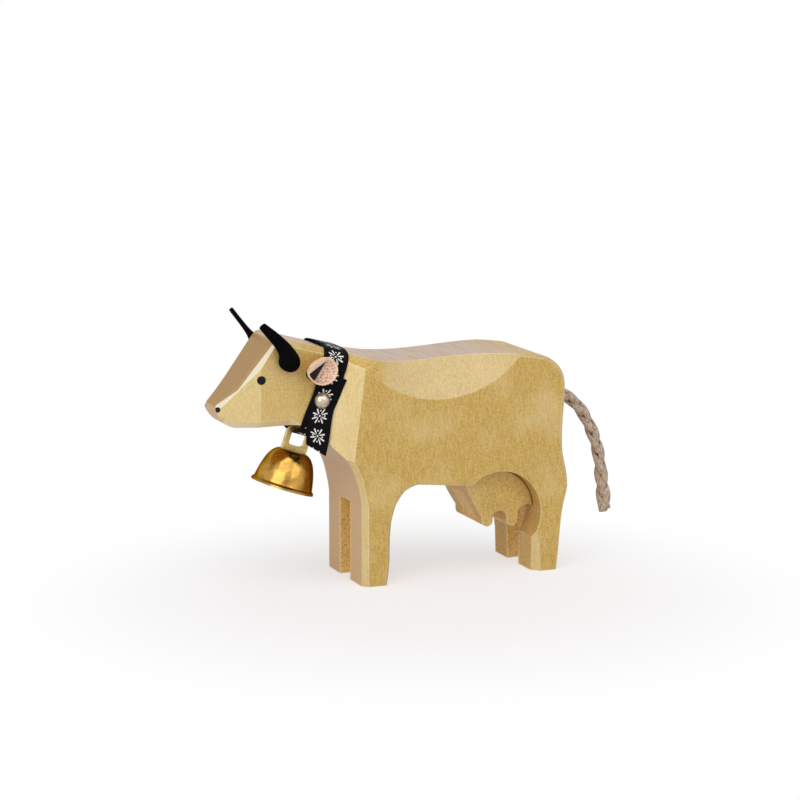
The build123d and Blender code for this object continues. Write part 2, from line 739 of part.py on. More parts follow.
def bell_bail():
    """The stirrup over the crown, with a tang through it and an eye for the clapper."""
    half_width = bail_width / 2
    with BuildSketch(Plane.XZ) as stirrup:
        with BuildLine():
            Polyline([(-half_width, 0), (-half_width, -bail_rise), (half_width, -bail_rise), (half_width, 0)])
            ThreePointArc((half_width, 0), (0, half_width), (-half_width, 0))
        make_face()
        with BuildSketch(Plane.XZ, mode=Mode.SUBTRACT) as window:
            with BuildLine():
                Polyline(
                    [
                        (-bail_inner_radius, 0), (-bail_inner_radius, bail_foot - bail_rise),
                        (bail_inner_radius, bail_foot - bail_rise), (bail_inner_radius, 0),
                    ]
                )
                ThreePointArc((bail_inner_radius, 0), (0, bail_inner_radius), (-bail_inner_radius, 0))
            make_face()
            fillet(window.vertices().group_by(Axis.Y)[0], bail_corner)
    loop = extrude(stirrup.sketch, amount=bail_thickness / 2, both=True)
    tang = Pos(0, 0, -bail_rise) * Cylinder(
        tang_diameter / 2, bell_wall, align=(Align.CENTER, Align.CENTER, Align.MAX)
    )
    eye_z = -bail_rise - eye_below_crown
    with BuildSketch(Plane.XZ) as lug_outline:
        with BuildLine():
            Polyline(
                [
                    (-eye_lug_width / 2, eye_z), (-eye_lug_width / 2, -bail_rise - bell_wall),
                    (eye_lug_width / 2, -bail_rise - bell_wall), (eye_lug_width / 2, eye_z),
                ]
            )
            ThreePointArc(
                (eye_lug_width / 2, eye_z), (0, eye_z - eye_lug_width / 2), (-eye_lug_width / 2, eye_z)
            )
        make_face()
    lug = extrude(lug_outline.sketch, amount=eye_lug_thickness / 2, both=True)
    eye = Pos(0, 0, eye_z) * Rot(90, 0, 0) * Cylinder(clapper_pin / 2 + clapper_fit, plank_thickness)
    return bell_plane(bell_height + bail_rise) * (loop + tang + lug - eye)


def rod(start, end, diameter):
    """A round rod between two points."""
    run = end - start
    return Plane(origin=start, z_dir=run) * Cylinder(
        diameter / 2, run.length, align=(Align.CENTER, Align.CENTER, Align.MIN)
    )


clapper_pivot = bell_plane(bell_height - eye_below_crown).origin


def bell_clapper():
    """A ball on a bent-wire hanger whose cross-bar turns in the bail's eye."""
    ball_centre = Vector(0, 0, -clapper_length)
    clapper = Pos(*ball_centre) * Sphere(clapper_ball / 2)
    corners = [Vector(0, side * clapper_half_span, 0) for side in (-1, 1)]
    clapper += rod(*corners, clapper_pin)
    for corner in corners:
        clapper += Pos(*corner) * Sphere(clapper_pin / 2)
        clapper += rod(corner, ball_centre, clapper_wire)
    return Pos(*clapper_pivot) * clapper


def tail_rope():
    """The rope's core along its route, in straight runs joined by tangent arcs."""
    radii = []
    for before, corner, after in zip(tail_route, tail_route[1:], tail_route[2:]):
        turn = (corner - before).get_angle(after - corner)
        run = min((corner - before).length, (after - corner).length)
        radii.append(tail_bend_share * run / math.tan(math.radians(turn / 2)))
    with BuildLine() as route:
        FilletPolyline(*tail_route, radius=radii)
    section = Plane(origin=route.line @ 0, z_dir=route.line % 0) * Circle(rope_diameter / 2)
    return sweep(section, path=route.line), radii


rope, rope_radii = tail_rope()
pieces = {
    "body_block": carved_block(),
    "udder": udder_piece(),
    "horn_left": horn(-1, horn_twist_left, horn_rise_left),
    "horn_right": horn(1, horn_twist_right, horn_rise_right),
    "ear_left": ear(-1),
    "ear_right": ear(1),
    "collar_ribbon": collar_ribbon(),
    "collar_nail": dome_nail(),
    "bell_shell": bell_shell(),
    "bell_bail": bell_bail(),
    "bell_clapper": bell_clapper(),
    "tail_rope": rope,
}
for name, piece in pieces.items():
    solids = piece.solids()
    box = piece.bounding_box()
    print(name, len(solids), round(piece.volume, 1), box.min, box.max)
    export_step(solids[0], f"parts/{name}.step")
print("rope bend radii", [round(radius, 2) for radius in rope_radii])
print("hang point", hang_point)
print("clapper pivot", clapper_pivot)
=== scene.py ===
"""Dresses the carved toy cow: gold paint, leather, a woven collar ribbon, a brass bell and a rope tail."""

import math
from functools import partial

import bmesh
import bpy
from bpy.props import FloatProperty, FloatVectorProperty, IntProperty, PointerProperty
from mathutils import Matrix, Vector


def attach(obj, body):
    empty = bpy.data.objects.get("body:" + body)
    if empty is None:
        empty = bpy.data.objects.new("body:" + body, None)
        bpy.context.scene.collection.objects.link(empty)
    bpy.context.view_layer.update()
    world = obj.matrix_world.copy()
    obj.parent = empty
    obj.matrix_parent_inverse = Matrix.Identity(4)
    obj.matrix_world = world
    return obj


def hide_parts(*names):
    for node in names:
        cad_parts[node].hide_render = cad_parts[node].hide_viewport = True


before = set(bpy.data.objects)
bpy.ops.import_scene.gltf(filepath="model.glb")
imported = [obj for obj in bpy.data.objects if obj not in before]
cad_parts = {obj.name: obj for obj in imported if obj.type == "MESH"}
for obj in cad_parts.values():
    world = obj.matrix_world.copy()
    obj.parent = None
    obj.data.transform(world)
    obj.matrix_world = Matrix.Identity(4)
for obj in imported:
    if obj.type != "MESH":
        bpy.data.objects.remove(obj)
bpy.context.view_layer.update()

bl_info = {
    "name": "Carved Toy Cow",
    "version": (1, 0, 0),
    "blender": (4, 5, 0),
    "location": "View3D > Sidebar > Toy Cow",
    "description": "Builds the finishes, collar ribbon, ears and rope tail of a carved wooden toy cow",
    "category": "Add Mesh",
}

MM = 0.001


def linear(hex_colour):
    """An sRGB hex colour as the linear values that the shaders take."""
    channels = [int(hex_colour[i:i + 2], 16) / 255 for i in (1, 3, 5)]
    return tuple(c / 12.92 if c <= 0.04045 else ((c + 0.055) / 1.055) ** 2.4 for c in channels)


def colour_property(name, description, hex_colour):
    return FloatVectorProperty(
        name=name, description=description, subtype="COLOR", size=3, min=0, max=1, default=linear(hex_colour)
    )


def length_property(name, description, millimetres):
    return FloatProperty(
        name=name, description=description, unit="LENGTH", subtype="DISTANCE", min=0, precision=5,
        default=millimetres * MM,
    )


def power_property(name, description, watts):
    return FloatProperty(name=name, description=description, unit="POWER", min=0, default=watts)


class GoldPaintSettings(bpy.types.PropertyGroup):
    """Colours and grain of the gold paint."""

    side: colour_property("Side", "Gold on the flat sides", "#CAA95C")
    side_deep: colour_property("Side, deep", "Darker gold between the brush streaks", "#AD8B41")
    top: colour_property("Sawn top", "Paint on the sawn back and neck", "#CBB2A2")
    front: colour_property("Sawn front", "Paint on the sawn front of the legs and chest", "#CDA97B")
    forehead: colour_property("Forehead", "Paint on the slanted forehead", "#AC8751")
    # The inside colour is partly painted light bounced between the gold faces.
    inside: colour_property("Inside", "Paint in the leg slots and under the belly", "#EDC47A")
    torn: colour_property("Torn grain", "Bare dark flecks where the saw tore the inside", "#7C5A2C")
    # The scooped flank's colour is a painted highlight where it faces up.
    scoop_highlight: colour_property("Scoop", "Thin paint in the scooped flank", "#C2B592")
    # Pale gold, for a random paler tone and for the painted highlights on the eased edges and the faces that turn
    # ahead.
    edge: colour_property("Eased edge", "Rubbed paint along the knife-cut edges", "#E9DCB0")
    # The brow colour is a painted highlight on the strip between forehead and cheek.
    brow: colour_property("Brow", "Rubbed paint on the strip between forehead and cheek", "#E2DAC0")
    spots: colour_property("Spots", "Black paint of the eyes and nostrils", "#050404")
    streak_width: length_property("Streak width", "Width of a brush streak", 0.7)
    eye_radius: length_property("Eye radius", "Radius of a painted eye", 1.7)


class LeatherSettings(bpy.types.PropertyGroup):
    """Colours of the horns and ears."""

    horn: colour_property("Horn", "Black leather of the horns", "#040303")
    ear: colour_property("Ear", "Undyed leather inside the ears", "#E6C0A8")
    rim: colour_property("Rim", "Cut edge of the ears", "#DE9A5C")
    pore: length_property("Pore", "Spacing of the pores", 0.7)


class RibbonSettings(bpy.types.PropertyGroup):
    """Sizes and colours of the collar ribbon."""

    thickness: length_property("Thickness", "Thickness of the ribbon", 0.46)
    pitch: length_property("Pitch", "Distance from flower to flower", 7.75)
    flower: length_property("Flower", "Radius of a woven flower", 3.15)
    ground: colour_property("Ground", "Black warp of the ribbon", "#060507")
    thread: colour_property("Thread", "White thread of the flowers", "#FAF8F4")


class BellSettings(bpy.types.PropertyGroup):
    """Colours of the bell, its bail and the nail."""

    brass: colour_property("Brass", "Polished brass of the bell", "#BC9148")
    satin: colour_property("Satin brass", "Cast brass of the bail and clapper", "#E0C580")
    nickel: colour_property("Nickel", "Plating of the nail", "#CDC0AC")


class TailSettings(bpy.types.PropertyGroup):
    """Sizes and colours of the rope tail."""

    diameter: length_property("Diameter", "Diameter of the rope", 5.2)
    lay: length_property("Lay", "Length in which a strand crosses over and comes back", 27)
    strands: IntProperty(name="Strands", description="Strands in the plait", min=3, max=3, default=3)
    fibre: colour_property("Fibre", "Pale fibre on the strands", "#E9DAC2")
    gap: colour_property("Gap", "Dark fibre between the strands", "#80614A")


class StageSettings(bpy.types.PropertyGroup):
    """Floor colour and lamp powers."""

    floor: colour_property("Floor", "Pale studio floor", "#F4EFF0")
    key: power_property("Key", "Power of the large lamp above", 6.5)
    left: power_property("Left", "Power of the lamp ahead of the cow", 3.8)
    right: power_property("Right", "Power of the lamp beside the camera", 2.0)
    sky: FloatProperty(name="Sky", description="Strength of the even light all round", min=0, default=0.38)


class CowSettings(bpy.types.PropertyGroup):
    """All settings of the toy cow."""

    paint: PointerProperty(type=GoldPaintSettings)
    leather: PointerProperty(type=LeatherSettings)
    ribbon: PointerProperty(type=RibbonSettings)
    bell: PointerProperty(type=BellSettings)
    tail: PointerProperty(type=TailSettings)
    stage: PointerProperty(type=StageSettings)


# Every Map Range here is a smooth step, and a Mix blends colours unless it is told otherwise.
NODE_SETTINGS = {"MapRange": {"interpolation_type": "SMOOTHSTEP"}, "Mix": {"data_type": "RGBA"}}


def fill(node, sockets):
    """Set a node's sockets, or link them to outputs; a node given as a value stands for its first output in use."""
    for name, value in sockets.items():
        socket = node.inputs[name]
        if isinstance(value, bpy.types.Node):
            value = next(output for output in value.outputs if output.enabled)
        if isinstance(value, bpy.types.NodeSocket):
            node.id_data.links.new(value, socket)
        elif socket.type == "RGBA":
            socket.default_value = (*value[:3], 1)
        else:
            socket.default_value = value


def add_node(tree, kind, *values, **named):
    """Add a node: values fill its sockets in order, capital names are other sockets, small names are settings."""
    node = tree.nodes.new(f"ShaderNode{kind}")
    for name, value in {**NODE_SETTINGS.get(kind, {}), **named}.items():
        if name.islower():
            setattr(node, name, value)
    in_use = [i for i, socket in enumerate(node.inputs) if socket.enabled]
    fill(node, dict(zip(in_use, values)))
    fill(node, {name: value for name, value in named.items() if not name.islower()})
    return node


def new_finish(name):
    """A new material, the function that adds nodes to it, and its shader."""
    material = bpy.data.materials.new(name)
    material.use_nodes = True
    tree = material.node_tree
    return material, partial(add_node, tree), tree.nodes["Principled BSDF"]


def millimetre_place(add):
    """The Object coordinates in millimetres, and the object's own normal."""
    place = add("TexCoord").outputs
    return add("VectorMath", place["Object"], 1 / MM, operation="SCALE"), place["Normal"]


def per(*sizes):
    """The scale of a pattern whose grain has these sizes in millimetres."""
    return tuple(1 / size for size in sizes)


def wear(piece, material):
    """Give a piece one material."""
    piece.data.materials.clear()
    piece.data.materials.append(material)


# Sizes of the paint's grain in millimetres, and the length of a streak in streak widths.
STREAK_LENGTH = 5
SPECKLE = 0.8333
CLOUD = 18.18
SAW_RIPPLE = (1.4286, 20, 2.2222)
TORN_FLECK = (1.1111, 1.1111, 0.7692)
EASED_RADIUS = 0.55
PAINT_RELIEF = 0.12

# Where the paint and its painted light and shade change, in millimetres from the last place without the change to the
# first with all of it.
MUZZLE_X = (-48, -54)
JAW_Z = (52, 56)
HEAD_X = (-36, -42)
SCOOP_X = (-10, -4)
RUMP_X = (28, 62)
WITHERS_X = (14, -16)
SLOT_Y = (7.5, 5.5)
SLOT_Z = (33, 29)
ARCH_FRONT_X = (26, 30)
ARCH_REAR_X = (68, 66)
ARCH_Z = (46, 42)

# The strip between forehead and cheek: where it faces on either side, and the lines, as rise and start, of its painted
# highlight.
BROW_FACING = (-0.704, 0.519, 0.484)
BROW_LINES = ((0.12, 10.8 - 0.12 * 86.0), (0.72, 5.9 - 0.72 * 72.6))

EYE_PLACE = (-54.1, 13.3, 81.8)
NOSTRIL_PLACE = (-69.9, 7.3, 70.7)
NOSTRIL_RADIUS = 1.42
NOSTRIL_SQUEEZE = 1.25
SPOT_BLUR = 0.08


def gold_paint(settings):
    """Brushed metallic gold paint: fine upright streaks, pinker on the sawn faces, painted highlights on the eased
    edges and on faces turned to the light, and painted light and shade under the belly and between the legs.
    """
    material, add, shader = new_finish("gold_painted_wood")
    place, normal = millimetre_place(add)
    x, y, z = add("SeparateXYZ", place).outputs
    ahead, beside, up = add("SeparateXYZ", normal).outputs
    aside = add("Math", y, operation="ABSOLUTE")
    turned = add("Math", beside, operation="ABSOLUTE")
    width = settings.streak_width / MM
    lie = add("Mapping", Vector=place, Scale=per(width, width, STREAK_LENGTH * width))
    streaks = add("TexNoise", lie, 1.0, 4.0, 0.6)
    speckle = add("TexNoise", place, 1 / SPECKLE, 3.0, 0.7)
    clouds = add("TexNoise", place, 1 / CLOUD, 2.0)
    depth = add("Mix", 0.62, streaks, speckle, data_type="FLOAT")

    # Flat sides: streaked gold, with a painted highlight on the muzzle, the head and the facets that face ahead, and
    # painted light from the floor on the jaw.
    side = add("Mix", add("MapRange", depth, 0.36, 0.62), settings.side_deep, settings.side)
    side = add("Mix", add("MapRange", clouds, 0.45, 0.75, 0, 0.2), side, settings.edge)
    # Painted light: a highlight on faces that turn ahead, on the muzzle and the head, and light from the floor under
    # the jaw.
    muzzle = add("Math", add("MapRange", ahead, -0.04, -0.12), add("MapRange", x, *MUZZLE_X), operation="MULTIPLY")
    jaw = add("Math", add("MapRange", up, -0.35, -0.6), add("MapRange", z, *JAW_Z, 0, 2.2), operation="MULTIPLY")
    pale = add("MapRange", ahead, -0.2, -0.42)
    for paler in (muzzle, jaw, add("MapRange", x, *HEAD_X, 0, 0.45)):
        pale = add("Math", pale, paler, operation="MAXIMUM")
    side = add("Mix", add("Math", pale, 0.32, operation="MULTIPLY"), side, settings.edge)
    # Painted highlight where the scooped flank faces up.
    scoop_highlight = add("Math", add("MapRange", up, 0.1, 0.3), add("MapRange", x, *SCOOP_X, 0, 0.4), operation="MULTIPLY")
    side = add("Mix", scoop_highlight, side, settings.scoop_highlight)

    # Sawn faces: pinker on the faces that point up and ahead, with gold left in the saw's ripples on the back.
    level = add("MapRange", up, 0.78, 0.95)
    steep = add("Math", 1.0, level, operation="SUBTRACT")
    slanted = add("Math", add("MapRange", up, 0.15, 0.4), steep, operation="MULTIPLY")
    top = add("Mix", add("MapRange", x, *RUMP_X, 0, 0.8), settings.top, settings.side)
    sawn = add("Mix", level, settings.front, top)
    sawn = add("Mix", slanted, sawn, settings.forehead)
    ripple = add("TexNoise", add("Mapping", Vector=place, Scale=per(*SAW_RIPPLE)), 1.0, 2.0)
    worn = add("Mix", 0.35, ripple, speckle, data_type="FLOAT")
    worn = add("Math", worn, add("MapRange", x, *WITHERS_X, 0, 0.04), operation="ADD")
    worn = add("Math", add("MapRange", worn, 0.48, 0.6, 0, 0.45), level, operation="MULTIPLY")
    sawn = add("Mix", worn, sawn, settings.side_deep)

    # Inside the slots, the arch and under the belly: warmer paint with dark flecks of torn grain; the warmth is partly
    # painted light bounced between the gold faces, and the arch gets painted shade.
    under = add("MapRange", up, -0.75, -0.95)
    slot = add("Math", add("MapRange", aside, *SLOT_Y), add("MapRange", z, *SLOT_Z), operation="MULTIPLY")
    hidden = add("Math", under, slot, operation="MAXIMUM")
    arch = add("Math", add("MapRange", x, *ARCH_FRONT_X), add("MapRange", z, *ARCH_Z), operation="MULTIPLY")
    arch = add("Math", arch, add("MapRange", x, *ARCH_REAR_X), operation="MULTIPLY")
    inside = add("Mix", add("MapRange", depth, 0.4, 0.58, 0.3, 0), settings.inside, settings.side_deep)
    torn = add("TexNoise", add("Mapping", Vector=place, Scale=per(*TORN_FLECK)), 1.0, 4.0, 0.7)
    inside = add("Mix", add("MapRange", torn, 0.48, 0.7, 0, 0.7), inside, settings.torn)
    sawn = add("Mix", under, sawn, inside)
    # Painted shade in the arch between the legs.
    sawn = add("Mix", arch, sawn, add("Mix", 0.45, inside, settings.side_deep))
    sideways = add("MapRange", turned, 0.3, 0.62)
    colour = add("Mix", sideways, sawn, side)
    colour = add("Mix", hidden, colour, inside)

    # The strip beside the forehead takes the forehead's paint, with a painted highlight outside a line on each side.
    folded = add("CombineXYZ", ahead, turned, up)
    brow = add("MapRange", add("VectorMath", folded, BROW_FACING, operation="DOT_PRODUCT"), 0.955, 0.985)
    colour = add("Mix", brow, colour, settings.forehead)
    lines = [add("Math", z, rise, start, operation="MULTIPLY_ADD") for rise, start in BROW_LINES]
    past = add("Math", aside, add("Math", *lines, operation="MINIMUM"), operation="SUBTRACT")
    brow_highlight = add("Math", brow, add("MapRange", past, -0.2, 0.2), operation="MULTIPLY")
    colour = add("Mix", brow_highlight, colour, settings.brow)

    # Knife-cut edges are eased and catch the light: the pale colour along them is a painted highlight.
    eased = add("Bevel", EASED_RADIUS * MM, samples=6)
    true_normal = add("NewGeometry").outputs["Normal"]
    turn = add("VectorMath", eased, true_normal, operation="DOT_PRODUCT")
    colour = add("Mix", add("MapRange", turn, 0.995, 0.93, 0, 0.8), colour, settings.edge)

    spots = black_spots(add, x, aside, z, settings)
    bare = add("Math", 1.0, spots, operation="SUBTRACT")
    relief = add("Mix", 0.3, streaks, speckle, data_type="FLOAT")
    gloss = add("Math", sideways, bare, operation="MULTIPLY")
    fill(shader, {
        "Base Color": add("Mix", spots, colour, settings.spots),
        "Metallic": add("Math", add("MapRange", depth, 0.3, 0.7, 0.15, 0.32), bare, operation="MULTIPLY"),
        "Roughness": add("MapRange", speckle, 0.3, 0.7, 0.5, 0.4),
        "Specular IOR Level": 0.2,
        "Coat Weight": add("Math", gloss, 0.6, operation="MULTIPLY"),
        "Coat Roughness": 0.32,
        "Normal": add("Bump", Strength=0.25, Distance=PAINT_RELIEF * MM, Height=relief, Normal=eased),
    })
    return material


def black_spots(add, x, aside, z, settings):
    """Round painted eyes and oval nostrils, the same on both sides of the head."""
    here = add("CombineXYZ", x, aside, z)
    squeeze = Vector((1, 1, NOSTRIL_SQUEEZE))
    squeezed = add("VectorMath", here, squeeze, operation="MULTIPLY")
    spots = []
    for where, middle, radius in (
        (here, EYE_PLACE, settings.eye_radius / MM), (squeezed, Vector(NOSTRIL_PLACE) * squeeze, NOSTRIL_RADIUS),
    ):
        away = add("VectorMath", where, middle, operation="DISTANCE")
        spots.append(add("MapRange", away, radius + SPOT_BLUR, radius - SPOT_BLUR))
    return add("Math", *spots, operation="MAXIMUM")


HORN_GRAIN = 0.625
HORN_FINE = 0.3333


def horn_leather(settings):
    """Black dyed leather, waxed by hand: nearly matt, with a faint grain."""
    material, add, shader = new_finish("black_leather")
    place, _ = millimetre_place(add)
    grain = add("TexVoronoi", Vector=place, Scale=1 / HORN_GRAIN, Randomness=1.0)
    fine = add("TexNoise", place, 1 / HORN_FINE, 3.0)
    fill(shader, {
        "Base Color": add("Mix", add("MapRange", fine, 0.4, 0.75, 0, 0.5), settings.horn, linear("#0E0909")),
        "Roughness": add("MapRange", fine, 0.3, 0.7, 0.6, 0.75),
        "Specular IOR Level": 0.03,
        "Normal": add("Bump", Strength=0.4, Distance=0.15 * MM, Height=grain),
    })
    return material


PORE_STRETCH = (1, 1, 0.6)
EAR_MOTTLE = 2.0
RIM_STREAK = 0.625


def ear_leather(settings):
    """Undyed leather: a pale pink-brown flesh side with open pores, an orange cut rim and painted shade deep in the
    fold.
    """
    material, add, shader = new_finish("natural_leather")
    place, _ = millimetre_place(add)
    rim, lip, hollow = (add("Attribute", attribute_name=name).outputs["Fac"] for name in ("rim", "lip", "hollow"))
    lie = add("Mapping", Vector=place, Scale=PORE_STRETCH)
    pores = add("TexVoronoi", Vector=lie, Scale=1 / (settings.pore / MM), Randomness=0.5)
    mottle = add("TexNoise", place, 1 / EAR_MOTTLE, 3.0)
    colour = add("Mix", add("MapRange", pores, 0.55, 0.22, 0, 0.85), settings.ear, linear("#8F634C"))
    colour = add("Mix", add("MapRange", mottle, 0.45, 0.75, 0, 0.35), colour, linear("#DDBFA9"))
    streaks = add("TexNoise", place, 1 / RIM_STREAK, 2.0)
    edge = add("Mix", add("MapRange", streaks, 0.4, 0.62), settings.rim, linear("#F1D3A4"))
    colour = add("Mix", add("Math", lip, 0.8, operation="MULTIPLY"), colour, linear("#EBD0BE"))
    colour = add("Mix", rim, colour, edge)
    # Deep in the fold the colour turns to a painted shade.
    fill(shader, {
        "Base Color": add("Mix", add("MapRange", hollow, 0.22, 0.7), colour, linear("#1E0F0B")),
        "Roughness": 0.8,
        "Normal": add("Bump", Strength=0.7, Distance=0.25 * MM, Height=pores),
    })
    return material


# The flower's dots and petals in millimetres, and where they lie as shares of its radius.
DOT_BLUR = 0.08
DOT_RADIUS = 0.3
EYELET_RADIUS = 0.36
DOT_SHARES = ((0.64, 0), (0, 0.66))
PETALS = ((28, 0.04), (57, -0.02))
PETAL_HALF_WIDTHS = (0.14, 0.27)
PETAL_BLUR = 0.07

# Spacing of the ribs and yarns in millimetres, coarser than real thread so that they show.
RIB = 0.42
YARN = 0.36


def ribbon_dot(add, across, along, place, radius):
    """A round woven dot of the flower."""
    here = add("CombineXYZ", across, along, 0.0)
    away = add("VectorMath", here, (*place, 0), operation="DISTANCE")
    return add("MapRange", away, radius + DOT_BLUR, radius - DOT_BLUR)


def ribbon_petal(add, across, along, angle, bend, reach):
    """A slender, slightly bent petal that points away from the flower's middle."""
    here = add("CombineXYZ", across, along, 0.0)
    cos, sin = math.cos(angle), math.sin(angle)
    ahead = add("VectorMath", here, (cos, sin, 0), operation="DOT_PRODUCT")
    beside = add("VectorMath", here, (-sin, cos, 0), operation="DOT_PRODUCT")
    sway = add("Math", add("Math", ahead, 2.0, operation="POWER"), bend, beside, operation="MULTIPLY_ADD")
    aside = add("Math", sway, operation="ABSOLUTE")
    width = add("MapRange", ahead, 0.25 * reach, 0.7 * reach, *PETAL_HALF_WIDTHS)
    petal = add("MapRange", add("Math", aside, width, operation="SUBTRACT"), PETAL_BLUR, -PETAL_BLUR)
    for start, end in ((0.25, 0.31), (1.02, 0.96)):
        petal = add("Math", petal, add("MapRange", ahead, start * reach, end * reach), operation="MULTIPLY")
    return petal


def woven_ribbon(settings):
    """Black woven ribbon: fine ribs, and a row of white star flowers with dots between their petals."""
    material, add, shader = new_finish("woven_ribbon")
    beside, run, _ = add("SeparateXYZ", add("UVMap", uv_map="lie")).outputs
    pitch = settings.pitch / MM
    reach = settings.flower / MM
    repeat = add("Math", add("Math", run, pitch, operation="DIVIDE"), operation="FRACT")
    along = add("Math", add("Math", repeat, 0.5, operation="SUBTRACT"), pitch, operation="MULTIPLY")
    along = add("Math", along, operation="ABSOLUTE")
    across = add("Math", beside, operation="ABSOLUTE")
    marks = [ribbon_dot(add, across, along, (0, 0), EYELET_RADIUS)]
    for share_across, share_along in DOT_SHARES:
        marks.append(ribbon_dot(add, across, along, (share_across * reach, share_along * reach), DOT_RADIUS))
    marks += [ribbon_petal(add, across, along, math.radians(angle), bend, reach) for angle, bend in PETALS]
    flower = marks[0]
    for mark in marks[1:]:
        flower = add("Math", flower, mark, operation="MAXIMUM")
    rib = add("Math", add("Math", run, 2 * math.pi / RIB, operation="MULTIPLY"), operation="SINE")
    yarn = add("Math", add("Math", beside, 2 * math.pi / YARN, operation="MULTIPLY"), operation="SINE")
    weave = add("Math", yarn, 0.6, rib, operation="MULTIPLY_ADD")
    ground = add("Mix", add("MapRange", weave, -1.2, 1.4, 0, 0.5), settings.ground, linear("#121014"))
    thread = add("Mix", add("MapRange", weave, -1.4, 0.6), linear("#DED9D2"), settings.thread)
    raised = add("Math", flower, 2.0, weave, operation="MULTIPLY_ADD")
    fill(shader, {
        "Base Color": add("Mix", flower, ground, thread),
        "Roughness": 0.75,
        "Specular IOR Level": 0.08,
        "Normal": add("Bump", Strength=0.5, Distance=0.1 * MM, Height=raised),
    })
    return material


# Sizes of the metal's marks in millimetres, and how much darker its worn and tarnished places are.
HANDLING = 1.4286
CASTING_SKIN = 0.2857
DENT = 6.25
TARNISH = 4.5455
WORN_SHADE = 0.62
TARNISHED_SHADE = 0.5


def polished_metal(name, colour, roughness, cast=0.0, metallic=1.0, edge="#FFFFFF"):
    """Bright metal with faint dents and handling marks; a cast one has a soft skin as well."""
    material, add, shader = new_finish(name)
    place, _ = millimetre_place(add)
    marks = add("TexNoise", place, 1 / HANDLING, 4.0, 0.65)
    fine = add("TexNoise", place, 1 / CASTING_SKIN, 2.0)
    dents = add("TexNoise", place, 1 / DENT, 1.0)
    tarnish = add("TexNoise", place, 1 / TARNISH, 3.0, 0.6)
    worn, tarnished = ([shade * c for c in colour] for shade in (WORN_SHADE, TARNISHED_SHADE))
    tone = add("Mix", add("MapRange", marks, 0.35, 0.75, 0, 0.35), colour, worn)
    tone = add("Mix", add("MapRange", tarnish, 0.46, 0.6, 0, 0.6 - 0.45 * cast), tone, tarnished)
    height = add("Math", fine, 0.06 + 0.1 * cast, dents, operation="MULTIPLY_ADD")
    fill(shader, {
        "Base Color": tone,
        "Metallic": metallic,
        "Specular Tint": linear(edge),
        "Roughness": add("MapRange", marks, 0.35, 0.7, *roughness),
        "Normal": add("Bump", Strength=0.6, Distance=1.0 * MM, Height=height),
    })
    return material


# Fibres round half a strand and per millimetre along it, their twist, and the size of a blotch in millimetres.
FIBRE_SCALE = (26.0, 0.55, 1.0)
FIBRE_TURN = math.radians(-14)
BLOTCH = 2.8571


def jute_rope(settings):
    """Plaited natural fibre: pale strands with streaks of yarn, and painted shade where two strands meet."""
    material, add, shader = new_finish("jute_rope")
    lie = add("Mapping", Vector=add("UVMap", uv_map="lie"), Scale=FIBRE_SCALE, Rotation=(0, 0, FIBRE_TURN))
    fibres = add("TexNoise", lie, 1.0, 4.0, 0.6)
    place, _ = millimetre_place(add)
    blotch = add("TexNoise", place, 1 / BLOTCH, 3.0)
    # Near the rope's middle line, where two strands meet, the colour turns to a painted shade.
    depth = add("Attribute", attribute_name="hollow").outputs["Fac"]
    colour = add("Mix", add("MapRange", fibres, 0.36, 0.68), settings.gap, settings.fibre)
    colour = add("Mix", add("MapRange", blotch, 0.45, 0.75, 0, 0.4), colour, linear("#B29A84"))
    fill(shader, {
        "Base Color": add("Mix", add("MapRange", depth, 0.2, 0.46), colour, linear("#4A3223")),
        "Roughness": 0.9,
        "Sheen Weight": 0.2,
        "Normal": add("Bump", Strength=0.8, Distance=0.35 * MM, Height=fibres),
    })
    return material


def mesh_data(name, mesh):
    """Turn a bmesh into mesh data and free it."""
    data = bpy.data.meshes.new(name)
    mesh.to_mesh(data)
    mesh.free()
    return data


def add_object(name, data):
    """Put mesh, lamp or camera data into the scene as an object."""
    thing = bpy.data.objects.new(name, data)
    bpy.context.scene.collection.objects.link(thing)
    return thing


def add_piece(name, mesh, body, material):
    """Make an object of a mesh at the origin, moving with a body and wearing a finish."""
    piece = add_object(name, mesh)
    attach(piece, body)
    wear(piece, material)
    return piece


class COW_OT_gold_paint(bpy.types.Operator):
    """Paint the carved block and the udder gold, with black eyes and nostrils"""

    bl_idname = "toy_cow.gold_paint"
    bl_label = "Gold Paint"

    def execute(self, context):
        paint = gold_paint(context.scene.toy_cow.paint)
        for node in ("body_block", "udder"):
            wear(bpy.data.objects[node], paint)
        return {"FINISHED"}


def number_layers(mesh, *names):
    """Add layers that keep a number at each vertex."""
    for name in names:
        mesh.verts.layers.float.new(name)
    return [mesh.verts.layers.float[name] for name in names]


def lay_pattern(mesh, place):
    """Smooth the faces and map each vertex to its place on the woven or twisted pattern."""
    lie = mesh.loops.layers.uv.new("lie")
    for face in mesh.faces:
        face.smooth = True
        for loop in face.loops:
            loop[lie].uv = place(loop.vert)


def close_skin(mesh, rings):
    """Join rings of vertices into a skin and close both ends."""
    for ring, following in zip(rings, rings[1:]):
        edges = {edge for vertex in ring + following for edge in vertex.link_edges}
        both = set(ring), set(following)
        loops = [edge for edge in edges if any(all(vertex in loop for vertex in edge.verts) for loop in both)]
        bmesh.ops.bridge_loops(mesh, edges=loops)
    for ring in (rings[0], rings[-1]):
        bmesh.ops.contextual_create(mesh, geom=ring)


# Horns in millimetres: the seat on the head, the knob's distance from it, and the tip from the seat.
HORN_SEAT = (-43.6, 13.3, 88.6)
HORN_STAND_OFF = 2.6
HORN_TIP_AHEAD = -11.6
HORN_TIP_ASIDE = 5.1
HORN_SIDES = 40
